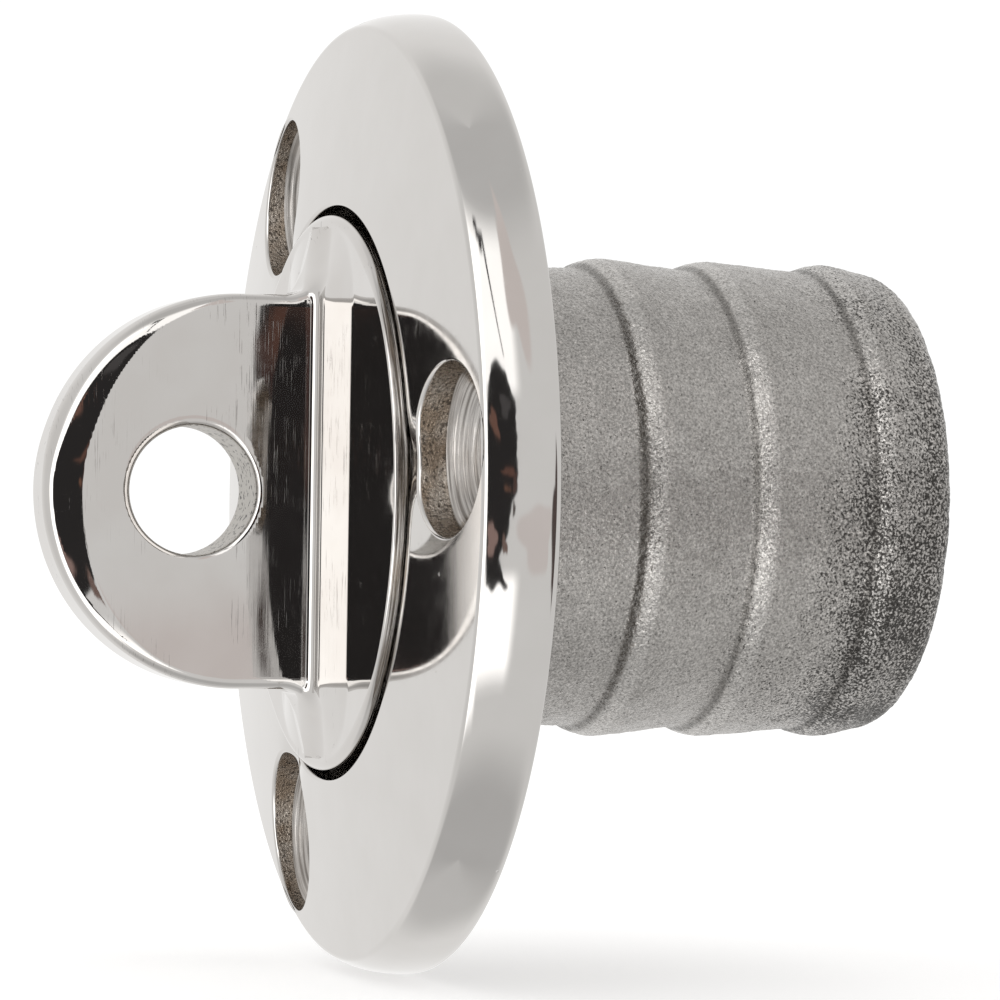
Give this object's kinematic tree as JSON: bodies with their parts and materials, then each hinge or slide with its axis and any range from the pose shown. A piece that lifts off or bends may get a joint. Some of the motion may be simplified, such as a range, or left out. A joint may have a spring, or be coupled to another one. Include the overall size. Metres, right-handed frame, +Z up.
{
  "type": "thru hull fitting",
  "caption": "Flanged through-hull hose fitting with a barbed tail, closed by a screw-in plug with a D-shaped eye and an O-ring seal.",
  "frame": {"origin": "centre of the flange's back face, which lies against the hull", "axes": "+Y is the hose tail's way into the hull, -Y is outboard along the plug's axis to the eye; the eye's plate lies across X, with its edges up and down; +Z is up"},
  "size_m": [0.0772, 0.0705, 0.0772],
  "materials": {
    "body_steel": "flange mirror-polished, hose tail left as cast and blasted",
    "plug_steel": "mirror-polished head and eye, turned side wall and thread",
    "seal_rubber": "matt black nitrile"
  },
  "bodies": {
    "fitting": {"body": "body_steel"},
    "seal": {"o_ring": "seal_rubber"},
    "plug": {"eye_plug": "plug_steel"}
  },
  "joints": [
    {"name": "plug_lift", "type": "slide", "parent": "fitting", "child": "seal", "axis": [0, -1, 0], "range_m": [0, 0.012]},
    {"name": "plug_turn", "type": "hinge", "parent": "seal", "child": "plug", "pos_m": [0, 0, 0], "axis": [0, -1, 0], "range_deg": [0, 2160.1]}
  ],
  "couplings": [
    {"joint": "plug_turn", "follows": "plug_lift", "rad_per_m": 3141.6}
  ]
}
